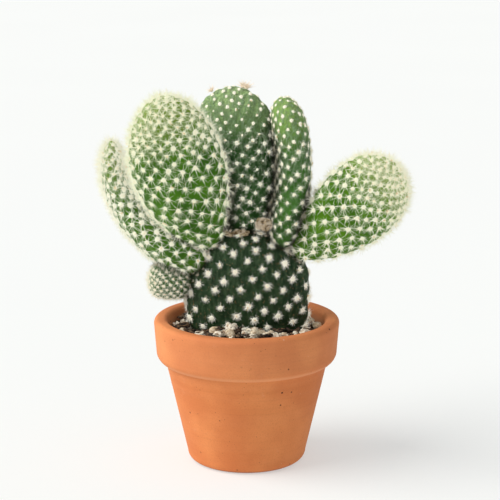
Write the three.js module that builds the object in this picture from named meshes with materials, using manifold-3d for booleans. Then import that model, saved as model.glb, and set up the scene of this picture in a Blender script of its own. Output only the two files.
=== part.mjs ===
// A paddle cactus in a terracotta pot, in millimetres, +Z up.
// The plant is built round the pot's axis, with its front facing -Y. The last lines move the whole group
// so that the origin lies on the surface that the pot stands on, in the middle of the object's outline.
//
// The cactus grew as a chain of flat stem segments, called paddles here. A thick old paddle stands in the
// soil, and younger ones sprout from its edge. Every paddle carries spirals of areoles, the cushions that
// bear its tufts of fine barbed bristles. Each tuft is raised from the skin as a small pointed star.

import * as THREE from "three";
import { ConvexGeometry } from "three/addons/geometries/ConvexGeometry.js";
import { ConvexHull } from "three/addons/math/ConvexHull.js";
import { mergeVertices } from "three/addons/utils/BufferGeometryUtils.js";
import Module from "manifold-3d";

const wasm = await Module();
wasm.setup();

const DEGREE = Math.PI / 180;

// Pot: a plain thrown and turned flower pot with a thick collar.
const POT_HEIGHT = 71;
const RIM_RADIUS = 45;
const COLLAR_FOOT_RADIUS = 43.9;
const COLLAR_FOOT_Z = 49.4;
const COLLAR_FOOT_ROUNDING = 5.2;
const BODY_TOP_RADIUS = 39.3;
const BASE_RADIUS = 29;
const BASE_ROUNDING = 4.4;
const COLLAR_SHADOW = -68;
const WALL = 5.6;
const FLOOR = 6;
const LIP_OUTER_ROUNDING = 2.4;
const LIP_INNER_ROUNDING = 2.6;
const DRAIN_RADIUS = 5.5;
const POT_SIDES = 40;

// Clearance between two separate pieces that touch on the real plant.
const GAP = 0.3;

// Share of its own height that the middle of a loose piece stands above the mix.
const SEATING = 0.5;

// Potting mix: gritty, and heaped a little round the plant.
const SOIL_EDGE_Z = 64.4;
const SOIL_HEAP = 2.2;
const SOIL_ROUGHNESS = 0.55;
const SOIL_SIDES = 32;
const SOIL_RINGS = 6;

// Share of a full turn between one areole and the next along a stem, as plants place them.
const GOLDEN_SHARE = (Math.sqrt(5) - 1) / 2;

// Level from -1, the root, to 1, the tip, where the areoles of a young paddle begin to crowd.
const CROWDING_STARTS = -0.1;

// Loose pieces and dry buds: number of corners and half sizes as shares of the mean radius.
const STONES = {
  perlite: { corners: 20, shape: [1, 0.9, 0.85] },
  pebble: { corners: 32, shape: [1, 0.8, 0.75] },
  bark: { corners: 12, shape: [1.4, 0.6, 0.5] },
  dry_bud: { corners: 24, shape: [1, 0.8, 0.8] },
};

// Where the random draws of each kind of piece start, so that no two pieces are alike.
const FIRST_SEED = { perlite: 11, pebble: 41, bark: 71, dry_bud: 91 };

const COLOURS = {
  terracotta: { color: 0xc8784c, roughness: 0.85, metalness: 0 },
  soil: { color: 0x4a3a2c, roughness: 0.95, metalness: 0 },
  old_skin: { color: 0x2a4a36, roughness: 0.6, metalness: 0 },
  mid_skin: { color: 0x46784a, roughness: 0.55, metalness: 0 },
  young_skin: { color: 0x5f9440, roughness: 0.55, metalness: 0 },
  perlite: { color: 0xe8e2d4, roughness: 0.95, metalness: 0 },
  pebble: { color: 0xa8977c, roughness: 0.7, metalness: 0 },
  bark: { color: 0x4b3222, roughness: 0.9, metalness: 0 },
  dry_bud: { color: 0xa78c70, roughness: 0.95, metalness: 0 },
};

// The paddles. root is where the lower end lies, from the pot's axis at table height. lean tips the paddle
// to the right, tilt tips it towards the front, and turn swings its front face to the right. curl bends it
// over its front face. These four are in degrees. sway carries the tip sideways. egg makes the tip end
// broader than the root end, and full makes both ends blunter. crowding packs the areoles of a young tip
// closer. sides is the number of points of a tuft's star, tuft is its radius and spike its height.
const PADDLES = {
  base_paddle: {
    root: [-0.4, 1, 34], lean: 1, tilt: 0, turn: 0, curl: 0, sway: 0,
    length: 79, width: 60, thickness: 26, egg: 0.12, full: 0.32,
    areoles: 165, crowding: 0, sides: 5, tuft: 1.9, spike: 2.2, colour: "old_skin",
  },
  front_left_paddle: {
    root: [-17.5, -1.5, 104], lean: -21.7, tilt: 19, turn: -6, curl: -8, sway: 6.3,
    length: 82.5, width: 44, thickness: 24, egg: 0.24, full: -0.13,
    areoles: 235, crowding: 1.1, sides: 4, tuft: 1.5, spike: 2.2, colour: "young_skin",
  },
  back_left_paddle: {
    root: [-16.8, 4, 97.5], lean: -84.6, tilt: 0, turn: -76, curl: -90, sway: 1.7,
    length: 84, width: 34, thickness: 17.9, egg: -0.28, full: 0.6,
    areoles: 190, crowding: 1, sides: 4, tuft: 1.4, spike: 2.2, colour: "young_skin",
  },
  left_bud: {
    root: [-26, 0, 88], lean: -83, tilt: 6, turn: 0, curl: 0, sway: 0,
    length: 21.5, width: 18.2, thickness: 13, egg: 0.05, full: 0.3,
    areoles: 60, crowding: 0.5, sides: 4, tuft: 0.9, spike: 1.5, colour: "mid_skin",
  },
  back_paddle: {
    root: [0.6, 2.5, 101], lean: -4.6, tilt: -3, turn: -6, curl: 0, sway: -2.3,
    length: 81.4, width: 39, thickness: 15, egg: 0.42, full: 0.03,
    areoles: 130, crowding: 0.1, sides: 4, tuft: 1.4, spike: 1.6, colour: "mid_skin",
  },
  upright_paddle: {
    root: [14.4, 1.5, 105.5], lean: 22, tilt: -1, turn: 99, curl: -41, sway: 0,
    length: 73.7, width: 34, thickness: 17.2, egg: -0.04, full: 0.7,
    areoles: 130, crowding: 0.1, sides: 4, tuft: 1.4, spike: 1.6, colour: "mid_skin",
  },
  right_paddle: {
    root: [23.3, -5, 102.3], lean: 49.5, tilt: 8, turn: 8, curl: 0, sway: -2.5,
    length: 66, width: 39.4, thickness: 20, egg: 0.3, full: 0,
    areoles: 205, crowding: 1.1, sides: 4, tuft: 1.4, spike: 2.2, colour: "young_skin",
  },
};

// Loose pieces on the mix, each with its place round the pot's axis and its mean radius.
const PERLITE = [
  [-31, -8, 2], [-19.5, -20, 1.9], [-14, -21.5, 2.4], [-7, -25, 2.1], [3, -23, 2.6],
  [12.5, -23, 3], [24, -19.5, 2.4], [30.5, -13.5, 2.5], [-8, 27, 2.6], [14, 26, 2.2],
];
const PEBBLES = [
  [34.5, 0, 2.9], [31.5, 9, 2.7], [-33.5, 2, 2.2], [18, -21, 2.2], [26, 17, 2.3], [-22, 24, 2.8],
  [3, 31, 2.5],
];
const BARK_CHIPS = [
  [-4, -20.5, 2.6], [-32.5, 12, 2.6], [33.5, -6.5, 2], [-15, 30, 2.7], [21, 25, 2.6],
];

// Dry brown remains of flower buds on the upper edge of the old paddle: place, radius and stretch sideways.
const DRY_BUDS = [
  [-4.8, -3.6, 112.7, 2.3, 2.9], [8.8, -7.6, 118, 4.3, 1],
];

// A closed geometry as a manifold-3d solid.
function solidOf(geometry) {
  const bare = geometry.clone();
  bare.deleteAttribute("normal");
  bare.deleteAttribute("uv");
  const merged = mergeVertices(bare, 1e-4);
  return new wasm.Manifold(
    new wasm.Mesh({
      numProp: 3,
      vertProperties: new Float32Array(merged.attributes.position.array),
      triVerts: new Uint32Array(merged.index.array),
    }),
  );
}

// A solid back as a geometry.
function geometryOf(solid) {
  const mesh = solid.getMesh();
  const geometry = new THREE.BufferGeometry();
  geometry.setAttribute("position", new THREE.BufferAttribute(mesh.vertProperties, 3));
  geometry.setIndex(new THREE.BufferAttribute(mesh.triVerts, 1));
  geometry.computeVertexNormals();
  return geometry;
}

function node(name, geometry, colour) {
  const mesh = new THREE.Mesh(geometry, new THREE.MeshStandardMaterial(COLOURS[colour]));
  mesh.name = name;
  return mesh;
}

// A repeatable stream of numbers from 0 to 1.
function seededNumbers(seed) {
  let state = seed;
  return () => {
    state = (state * 1664525 + 1013904223) % 4294967296;
    return state / 4294967296;
  };
}

// Points of an arc in the plane of a turned profile, with x out from the axis and y up. Angles in degrees.
function arc(x, y, radius, from, to, steps) {
  return Array.from({ length: steps + 1 }, (_, i) => {
    const angle = (from + ((to - from) * i) / steps) * DEGREE;
    return new THREE.Vector2(x + radius * Math.cos(angle), y + radius * Math.sin(angle));
  });
}

// Radius of the pot's inner wall at a height. It follows the taper of the body, up to the upright collar.
function innerRadius(z) {
  const taper = (BODY_TOP_RADIUS - BASE_RADIUS) / (COLLAR_FOOT_Z - BASE_ROUNDING);
  const tapered = BASE_RADIUS - WALL + taper * (z - BASE_ROUNDING);
  return Math.min(tapered, RIM_RADIUS - WALL);
}

function potGeometry() {
  const corner = COLLAR_FOOT_RADIUS - COLLAR_FOOT_ROUNDING;
  const crestZ = POT_HEIGHT - LIP_INNER_ROUNDING;
  const profile = [
    new THREE.Vector2(DRAIN_RADIUS, 0),
    ...arc(BASE_RADIUS - BASE_ROUNDING, BASE_ROUNDING, BASE_ROUNDING, -90, 0, 4),
    new THREE.Vector2(BODY_TOP_RADIUS, COLLAR_FOOT_Z),
    ...arc(corner, COLLAR_FOOT_Z + COLLAR_FOOT_ROUNDING, COLLAR_FOOT_ROUNDING, COLLAR_SHADOW, 0, 4),
    ...arc(RIM_RADIUS - LIP_OUTER_ROUNDING, POT_HEIGHT - LIP_OUTER_ROUNDING, LIP_OUTER_ROUNDING, 0, 90, 3),
    ...arc(innerRadius(crestZ) + LIP_INNER_ROUNDING, crestZ, LIP_INNER_ROUNDING, 90, 180, 3),
    new THREE.Vector2(innerRadius(FLOOR), FLOOR),
    new THREE.Vector2(DRAIN_RADIUS, FLOOR),
    new THREE.Vector2(DRAIN_RADIUS, 0),
  ];
  return new THREE.LatheGeometry(profile, POT_SIDES).rotateX(Math.PI / 2);
}

// Height of the potting mix at a place, heaped towards the plant and uneven with its grains, which are two
// crossing ripples a few millimetres long.
function soilHeight(x, y) {
  const share = Math.hypot(x, y) / innerRadius(SOIL_EDGE_Z);
  const grains = Math.sin(1.9 * x + 0.6) * Math.cos(1.7 * y) + Math.sin(1.1 * y + 0.8 * x);
  return SOIL_EDGE_Z + SOIL_HEAP * (1 - share * share) + (SOIL_ROUGHNESS * grains) / 2;
}

function soilGeometry() {
  const bottom = FLOOR + GAP;
  const surface = Array.from({ length: SOIL_RINGS }, (_, i) => {
    const radius = (innerRadius(SOIL_EDGE_Z) - GAP) * (1 - i / SOIL_RINGS);
    return new THREE.Vector2(radius, SOIL_EDGE_Z);
  });
  const profile = [
    new THREE.Vector2(0, bottom),
    new THREE.Vector2(innerRadius(bottom) - GAP, bottom),
    ...surface,
    new THREE.Vector2(0, SOIL_EDGE_Z),
  ];
  const geometry = new THREE.LatheGeometry(profile, SOIL_SIDES).rotateX(Math.PI / 2);
  const place = geometry.attributes.position;
  for (let i = 0; i < place.count; i++)
    if (place.getZ(i) > SOIL_EDGE_Z - GAP) place.setZ(i, soilHeight(place.getX(i), place.getY(i)));
  return geometry;
}

// Turns the shared edge of two triangles wherever the angles that face it add up to more than half a turn,
// which leaves the most even triangles between the points.
function evenTriangles(points, faces) {
  const MOST_PASSES = 80;
  const facing = (a, b, c) => {
    const u = points[a].clone().sub(points[c]);
    const v = points[b].clone().sub(points[c]);
    return u.angleTo(v);
  };
  for (let pass = 0; pass < MOST_PASSES; pass++) {
    const sides = new Map();
    faces.forEach((face, f) => {
      for (let i = 0; i < 3; i++) sides.set(`${face[i]}_${face[(i + 1) % 3]}`, [f, face[(i + 2) % 3]]);
    });
    const changed = new Set();
    for (const [key, [left, c]] of sides) {
      const [a, b] = key.split("_").map(Number);
      if (a > b) continue;
      const [right, d] = sides.get(`${b}_${a}`);
      if (changed.has(left) || changed.has(right)) continue;
      if (sides.has(`${c}_${d}`) || sides.has(`${d}_${c}`)) continue;
      if (facing(a, b, c) + facing(a, b, d) <= Math.PI + 1e-6) continue;
      faces[left] = [a, d, c];
      faces[right] = [d, b, c];
      changed.add(left).add(right);
    }
    if (!changed.size) break;
  }
}

// A point of the unit ball at a level from -1 to 1 along z and an angle round it.
function onBall(level, angle) {
  const flat = Math.sqrt(1 - level * level);
  return new THREE.Vector3(flat * Math.cos(angle), flat * Math.sin(angle), level);
}

class Paddle {
  constructor(name, sizes) {
    Object.assign(this, sizes, { name });
    this.rotation = new THREE.Euler(this.tilt * DEGREE, this.lean * DEGREE, this.turn * DEGREE, "YXZ");
    this.matrix = new THREE.Matrix4().makeRotationFromEuler(this.rotation).setPosition(...this.root);
    this.inverse = this.matrix.clone().invert();
    const STEPS = 100;
    const levels = Array.from({ length: STEPS + 1 }, (_, i) => (2 * i) / STEPS - 1);
    this.broadest = 1;
    this.broadest = Math.max(...levels.map((z) => Math.sqrt(1 - z * z) * this.breadth(z)));
  }

  // Breadth at a level from -1, the root, to 1, the tip, over that of a ball.
  breadth(level) {
    return ((1 + this.egg * level) * (1 + this.full * level * level)) / this.broadest;
  }

  // A place beside the straight middle line, moved to the same place beside the curled one. The middle line
  // curls round a point level with the root.
  curled(place) {
    if (!this.curl) return place;
    const radius = this.length / (this.curl * DEGREE);
    const angle = place.z / radius;
    const reach = radius + place.y;
    return place.set(place.x, reach * Math.cos(angle) - radius, reach * Math.sin(angle));
  }

  straightened(place) {
    if (!this.curl) return place;
    const radius = this.length / (this.curl * DEGREE);
    const side = Math.sign(radius);
    const angle = Math.atan2(side * place.z, side * (place.y + radius));
    const reach = side * Math.hypot(place.z, place.y + radius);
    return place.set(place.x, reach - radius, radius * angle);
  }

  // Where a direction on the unit ball lies on the skin, in the paddle's own frame: x across, -y the front
  // face, z along. swell moves the skin outwards.
  skin(u, swell = 0) {
    const broad = this.breadth(u.z);
    const share = (1 + u.z) / 2;
    return this.curled(
      new THREE.Vector3(
        ((this.width / 2) * broad + swell) * u.x + this.sway * share * share,
        ((this.thickness / 2) * broad + swell) * u.y,
        this.length * share + swell * u.z,
      ),
    );
  }

  // Whether a place round the pot is inside the paddle, or within a margin of its skin.
  holds(place, margin) {
    const p = this.straightened(place.clone().applyMatrix4(this.inverse));
    const half = this.length / 2;
    const level = (p.z - half) / (half + margin);
    if (Math.abs(level) >= 1) return false;
    const share = (1 + level) / 2;
    const broad = this.breadth(level);
    const across = (p.x - this.sway * share * share) / ((this.width / 2) * broad + margin);
    const through = p.y / ((this.thickness / 2) * broad + margin);
    return across * across + through * through + level * level < 1;
  }

  // How the skin runs along two directions at right angles on the unit ball, with the directions themselves.
  slopes(u) {
    const STEP = 1e-3;
    const aside = Math.abs(u.z) < 0.9 ? new THREE.Vector3(0, 0, 1) : new THREE.Vector3(1, 0, 0);
    const east = new THREE.Vector3().crossVectors(aside, u).normalize();
    const north = new THREE.Vector3().crossVectors(u, east);
    const slope = (way) => {
      const ahead = this.skin(u.clone().addScaledVector(way, STEP).normalize());
      const behind = this.skin(u.clone().addScaledVector(way, -STEP).normalize());
      return ahead.sub(behind).divideScalar(2 * STEP);
    };
    return { east, north, eastward: slope(east), northward: slope(north) };
  }

  normal(u) {
    const { eastward, northward } = this.slopes(u);
    return eastward.cross(northward).normalize();
  }

  // The direction on the unit ball whose place on the skin lies a radius away from that of u, at an angle.
  beside(u, radius, angle) {
    const { east, north, eastward, northward } = this.slopes(u);
    const across = eastward.clone().normalize();
    const along = this.normal(u).cross(across);
    const target = across.multiplyScalar(Math.cos(angle)).addScaledVector(along, Math.sin(angle));
    const a = eastward.lengthSq();
    const b = eastward.dot(northward);
    const c = northward.lengthSq();
    const p = eastward.dot(target) * radius;
    const q = northward.dot(target) * radius;
    const scale = 1 / (a * c - b * b);
    return u
      .clone()
      .addScaledVector(east, (c * p - b * q) * scale)
      .addScaledVector(north, (a * q - b * p) * scale)
      .normalize();
  }

  // Directions spaced along one spiral from root to tip, so that each gets an equal share of the skin, or a
  // smaller share towards a crowded tip.
  spiral(count) {
    const LEVELS = 240;
    const SPOKES = 72;
    const spoke = (level, i) => this.skin(onBall(level, (2 * Math.PI * i) / SPOKES));
    const runs = (level) => {
      const lengths = [0];
      for (let i = 1; i <= SPOKES; i++)
        lengths.push(lengths.at(-1) + spoke(level, i).distanceTo(spoke(level, i - 1)));
      return lengths;
    };
    const meanRadius = (this.width + this.thickness) / 4;
    const radius = (level) => Math.sqrt(1 - level * level) * this.breadth(level) * meanRadius;
    const areas = [0];
    for (let i = 0; i < LEVELS; i++) {
      const low = (2 * i) / LEVELS - 1;
      const high = Math.min(1, low + 2 / LEVELS);
      const slant = Math.hypot(this.length / LEVELS, radius(high) - radius(low));
      const crowd = 1 + this.crowding * THREE.MathUtils.smoothstep(low, CROWDING_STARTS, 1);
      areas.push(areas.at(-1) + runs((low + high) / 2).at(-1) * slant * crowd);
    }
    return Array.from({ length: count }, (_, k) => {
      const target = ((k + 0.5) / count) * areas.at(-1);
      const i = areas.findIndex((area) => area > target) - 1;
      const level = (2 * (i + (target - areas[i]) / (areas[i + 1] - areas[i]))) / LEVELS - 1;
      const run = runs(level);
      const wanted = ((k * GOLDEN_SHARE) % 1) * run.at(-1);
      const j = run.findIndex((length) => length > wanted) - 1;
      return onBall(level, (2 * Math.PI * (j + (wanted - run[j]) / (run[j + 1] - run[j]))) / SPOKES);
    });
  }

  // The bare skin as a closed geometry, swollen by a margin.
  bareGeometry(swell) {
    const MERIDIANS = 40;
    const PARALLELS = 28;
    const geometry = new THREE.SphereGeometry(1, MERIDIANS, PARALLELS).rotateX(Math.PI / 2);
    const place = geometry.attributes.position;
    for (let i = 0; i < place.count; i++) {
      const u = new THREE.Vector3().fromBufferAttribute(place, i).normalize();
      place.setXYZ(i, ...this.skin(u, swell));
    }
    return geometry;
  }

  // The paddle with its tufts. hasRoom says whether a tuft fits, from the places of its foot and tip round
  // the pot and its radius.
  geometry(hasRoom) {
    const FILLERS = 90;
    const FILLER_CLEARANCE = 2.1;
    const YOUNG_TUFT_SHRINK = 0.25;
    const SPIKE_SPREAD = 0.15;
    const random = seededNumbers(this.areoles);
    const directions = [];
    const tufts = [];
    for (const u of this.spiral(this.areoles)) {
      const youth = this.crowding * THREE.MathUtils.smoothstep(u.z, 0, 1);
      const radius = this.tuft * (1 - YOUNG_TUFT_SHRINK * youth);
      const spike = this.spike * (1 + SPIKE_SPREAD * (2 * random() - 1));
      const phase = random() * 2 * Math.PI;
      const foot = this.skin(u);
      const tip = foot.clone().addScaledVector(this.normal(u), spike);
      const [footPlace, tipPlace] = [foot, tip].map((place) => place.clone().applyMatrix4(this.matrix));
      if (!hasRoom(footPlace, tipPlace, radius)) continue;
      tufts.push({ middle: directions.length, foot, tip, radius });
      directions.push(u);
      for (let i = 0; i < this.sides; i++)
        directions.push(this.beside(u, radius, phase + (2 * Math.PI * i) / this.sides));
    }
    const isClear = (u) => tufts.every((t) => this.skin(u).distanceTo(t.foot) > FILLER_CLEARANCE * t.radius);
    directions.push(...this.spiral(FILLERS).filter(isClear));

    const number = new Map(directions.map((u, i) => [u, i]));
    const hull = new ConvexHull().setFromPoints(directions);
    const faces = hull.faces.map((face) => {
      const { edge } = face;
      return [edge.prev, edge, edge.next].map((side) => number.get(side.head().point));
    });
    const points = directions.map((u) => this.skin(u));
    evenTriangles(points, faces);
    for (const { middle, tip } of tufts) points[middle].copy(tip);
    return new THREE.BufferGeometry().setFromPoints(points).setIndex(faces.flat());
  }
}

const paddles = Object.entries(PADDLES).map(([name, sizes]) => new Paddle(name, sizes));
const [base] = paddles;

// A tuft is left out below the mix, under a dry bud and where another paddle presses on the skin. Where two
// paddles lie close, the later one in the list gives way, so that no two tufts meet.
function roomFor(paddle) {
  const CLEARANCE = 0.5;
  const rank = paddles.indexOf(paddle);
  const clearOfBud = (tip, radius, [x, y, z, size]) =>
    tip.distanceTo(new THREE.Vector3(x, y, z)) > size + radius + CLEARANCE;
  return (foot, tip, radius) =>
    tip.z - radius > soilHeight(foot.x, foot.y) + CLEARANCE &&
    DRY_BUDS.every((bud) => clearOfBud(tip, radius, bud)) &&
    paddles.every((other, i) => {
      if (i === rank) return true;
      const reach = i < rank ? CLEARANCE + other.spike : CLEARANCE;
      return !other.holds(tip, reach) && !other.holds(foot, radius + CLEARANCE);
    });
}

// A paddle with its tufts, cut to fit against those that come before it in the list.
function paddleNode(paddle, rank) {
  let solid = solidOf(paddle.geometry(roomFor(paddle)));
  for (const other of paddles.slice(0, rank)) {
    const frame = paddle.inverse.clone().multiply(other.matrix);
    solid = solid.subtract(solidOf(other.bareGeometry(GAP).applyMatrix4(frame)));
  }
  const mesh = node(paddle.name, geometryOf(solid), paddle.colour);
  mesh.position.set(...paddle.root);
  mesh.rotation.copy(paddle.rotation);
  return mesh;
}

const moundOfSoil = solidOf(soilGeometry());

function soilNode() {
  const hole = solidOf(base.bareGeometry(GAP).applyMatrix4(base.matrix));
  return node("soil", geometryOf(moundOfSoil.subtract(hole)), "soil");
}

// A stone of irregular shape round the origin: the hull of scattered points on a squashed ball.
function stoneGeometry(kind, seed, radius, stretch = 1) {
  const ROUGHNESS = 0.15;
  const { corners, shape } = STONES[kind];
  const random = seededNumbers(seed);
  const points = Array.from({ length: corners }, (_, i) => {
    const turns = GOLDEN_SHARE * i + ROUGHNESS * random();
    const u = onBall((2 * i + 1) / corners - 1, 2 * Math.PI * turns);
    return u.multiplyScalar(1 + ROUGHNESS * (2 * random() - 1)).multiply(new THREE.Vector3(...shape));
  });
  return new ConvexGeometry(points).scale(radius * stretch, radius, radius);
}

// A loose piece that lies on the mix and sinks in a little, with its underside fitted to the mix.
function looseNode(kind, name, [x, y, radius], seed) {
  const z = soilHeight(x, y) + SEATING * radius * STONES[kind].shape[2];
  const geometry = stoneGeometry(kind, seed, radius);
  geometry.rotateZ(2 * Math.PI * seededNumbers(seed)());
  const bed = moundOfSoil.translate([-x, -y, GAP - z]);
  const mesh = node(name, geometryOf(solidOf(geometry).subtract(bed)), kind);
  mesh.position.set(x, y, z);
  return mesh;
}

// A dry bud, fitted against the paddles that it sits on.
function dryBudNode(name, [x, y, z, radius, stretch], seed) {
  const geometry = stoneGeometry("dry_bud", seed, radius, stretch).translate(x, y, z);
  let solid = solidOf(geometry);
  for (const paddle of paddles) {
    const pressed = paddle.bareGeometry(GAP).applyMatrix4(paddle.matrix);
    solid = solid.subtract(solidOf(pressed));
  }
  return node(name, geometryOf(solid), "dry_bud");
}

const plant = new THREE.Group();
plant.add(node("pot", potGeometry(), "terracotta"), soilNode(), ...paddles.map(paddleNode));
PERLITE.forEach((place, i) => {
  plant.add(looseNode("perlite", `perlite_${i + 1}`, place, FIRST_SEED.perlite + i));
});
PEBBLES.forEach((place, i) => {
  plant.add(looseNode("pebble", `pebble_${i + 1}`, place, FIRST_SEED.pebble + i));
});
BARK_CHIPS.forEach((place, i) => {
  plant.add(looseNode("bark", `bark_chip_${i + 1}`, place, FIRST_SEED.bark + i));
});
DRY_BUDS.forEach((place, i) => {
  plant.add(dryBudNode(`dry_bud_${i + 1}`, place, FIRST_SEED.dry_bud + i));
});

// The origin goes to the middle of the whole outline, at the foot.
const potted = new THREE.Group();
potted.add(plant);
const outline = new THREE.Box3().setFromObject(potted, true);
const middle = outline.getCenter(new THREE.Vector3());
plant.position.set(-middle.x, -middle.y, -outline.min.z);

export default potted;
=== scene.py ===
# %% [markdown]
# # A paddle cactus in a terracotta pot
# A small paddle cactus of seven flat stem segments, which are called paddles here, stands in
# gritty mix in a plain terracotta pot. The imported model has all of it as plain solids. This
# script puts a finer piece with a real finish in the place of each: the pot, the mix, the stones,
# the skins of the paddles and the dry buds. It adds the tufts of bristles, small grit and dry
# wool.
#
# Everything is worked out in millimetres round the pot's axis, as a grower would measure it, and
# is moved into the frame, in metres, at the end of each piece.

# %% The frame
import math
import random

import bmesh
import bpy
from mathutils import Matrix, Vector, noise
from mathutils.kdtree import KDTree


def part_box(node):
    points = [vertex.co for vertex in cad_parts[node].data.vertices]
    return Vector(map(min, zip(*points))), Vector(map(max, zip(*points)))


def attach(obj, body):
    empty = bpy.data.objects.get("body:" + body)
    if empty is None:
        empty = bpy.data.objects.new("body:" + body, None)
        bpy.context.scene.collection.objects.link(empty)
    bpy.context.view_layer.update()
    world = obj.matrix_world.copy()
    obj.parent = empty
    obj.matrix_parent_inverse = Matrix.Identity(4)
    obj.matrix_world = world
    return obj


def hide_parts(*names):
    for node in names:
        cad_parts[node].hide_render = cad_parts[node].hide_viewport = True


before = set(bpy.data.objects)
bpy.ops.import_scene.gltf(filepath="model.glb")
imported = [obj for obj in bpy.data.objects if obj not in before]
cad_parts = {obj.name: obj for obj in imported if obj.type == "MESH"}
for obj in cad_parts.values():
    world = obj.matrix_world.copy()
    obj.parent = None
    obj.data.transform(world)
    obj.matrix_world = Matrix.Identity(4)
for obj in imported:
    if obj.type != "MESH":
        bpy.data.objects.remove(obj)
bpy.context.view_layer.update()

# %% [markdown]
# ## From millimetres to the frame
# The leaning paddles reach further to the right than to the left of the pot, so the pot doesn't
# stand in the middle of the frame. Its axis could be written down as a number, but the box of its
# solid says where it is, and still does when the model is packed anew. One matrix then moves a
# finished piece into the frame.

# %% Where the pot's axis stands
MM = 0.001
pot_low, pot_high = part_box("pot")
POT_AXIS = Vector(((pot_low.x + pot_high.x) / 2, (pot_low.y + pot_high.y) / 2, 0))
INTO_FRAME = Matrix.Translation(POT_AXIS) @ Matrix.Diagonal((MM, MM, MM, 1))
print("pot axis:", POT_AXIS)

# %% [markdown]
# ## Camera
# The pot's rim, collar and foot are three level circles, and how much they open up in a
# photograph gives the distance, height and pitch of the camera. A camera placed by eye would do
# for a picture, but only a fitted one lets sizes be compared. A long lens from 75 cm away keeps
# the paddles' proportions.

# %% Camera
CAMERA_DISTANCE = 0.7481
CAMERA_HEIGHT = 0.26604
CAMERA_ASIDE = 0.00164
CAMERA_PITCH = math.radians(12.22)
LENS = 114.38
FILM_WIDTH = 36
camera_data = bpy.data.cameras.new("camera")
camera_data.lens = LENS
camera_data.sensor_width = FILM_WIDTH
camera = bpy.data.objects.new("camera", camera_data)
camera.location = (POT_AXIS.x + CAMERA_ASIDE, -CAMERA_DISTANCE, CAMERA_HEIGHT)
camera.rotation_euler = (math.pi / 2 - CAMERA_PITCH, 0, 0)
bpy.context.scene.collection.objects.link(camera)
bpy.context.scene.camera = camera
print("camera:", camera.location[:])

# %% [markdown]
# ## Light and floor
# A product photograph on white has a large soft light from one side and so much light from all
# round that the floor and the wall melt together. Several lamps and a curved backdrop could do
# that. A bright even sky needs fewer parts, and a sun that is as broad as a studio window stands
# in for the soft box at the left. The floor is a light table: a large milky plane that is lit
# from above and glows a little itself, which keeps the shadow beside the pot pale. The camera
# looks down far enough to see nothing else behind the pot.

# %% Studio
SUN_FROM = Vector((-1, -0.18, 0.76))
SUN_STRENGTH = 2.95
SUN_BREADTH = math.radians(54)
SKY_STRENGTH = 0.47
scene = bpy.context.scene
scene.view_settings.view_transform = "Standard"
world = bpy.data.worlds.new("studio")
world.use_nodes = True
sky = world.node_tree.nodes["Background"]
sky.inputs["Color"].default_value = (0.98, 0.99, 1, 1)
sky.inputs["Strength"].default_value = SKY_STRENGTH
scene.world = world
sun_data = bpy.data.lights.new("soft_box", "SUN")
sun_data.energy = SUN_STRENGTH
sun_data.angle = SUN_BREADTH
sun_data.color = (1, 0.975, 0.94)
sun = bpy.data.objects.new("soft_box", sun_data)
sun.rotation_euler = SUN_FROM.to_track_quat("Z", "Y").to_euler()
scene.collection.objects.link(sun)
print("sky", SKY_STRENGTH, "and soft box", SUN_STRENGTH)

# %% [markdown]
# ## Finishes as sums
# A finish is a small calculation that runs at every point of a surface. Nodes could be placed one
# by one, but they are easiest to read when they are written as the sum that they stand for. So a
# socket is wrapped in a class with the operators plus, minus and times, and one method makes any
# node from its type, its settings and what goes into its sockets.

# %% Sockets that can be added and multiplied
def paint(red, green, blue):
    """A colour as a screen gives it, 0 to 255, turned into light by the standard curve."""
    def light(level):
        level /= 255
        return level / 12.92 if level <= 0.04045 else ((level + 0.055) / 1.055) ** 2.4
    return light(red), light(green), light(blue), 1


print("middle grey as light:", paint(128, 128, 128))


class Value:
    def __init__(self, finish, socket):
        self.finish = finish
        self.socket = socket

    def math(self, operation, *others):
        return self.finish.node("Math", {"operation": operation}, dict(enumerate((self, *others))))

    def __add__(self, other):
        return self.math("ADD", other)

    __radd__ = __add__

    def __mul__(self, other):
        return self.math("MULTIPLY", other)

    __rmul__ = __mul__

    def __sub__(self, other):
        return self.math("SUBTRACT", other)

    def __rsub__(self, other):
        return (self * -1) + other

    def between(self, low, high):
        """0 below low, 1 above high and a soft step from one to the other."""
        ends = {"Value": self, "From Min": low, "From Max": high}
        return self.finish.node("MapRange", {"interpolation_type": "SMOOTHSTEP"}, ends)


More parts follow.
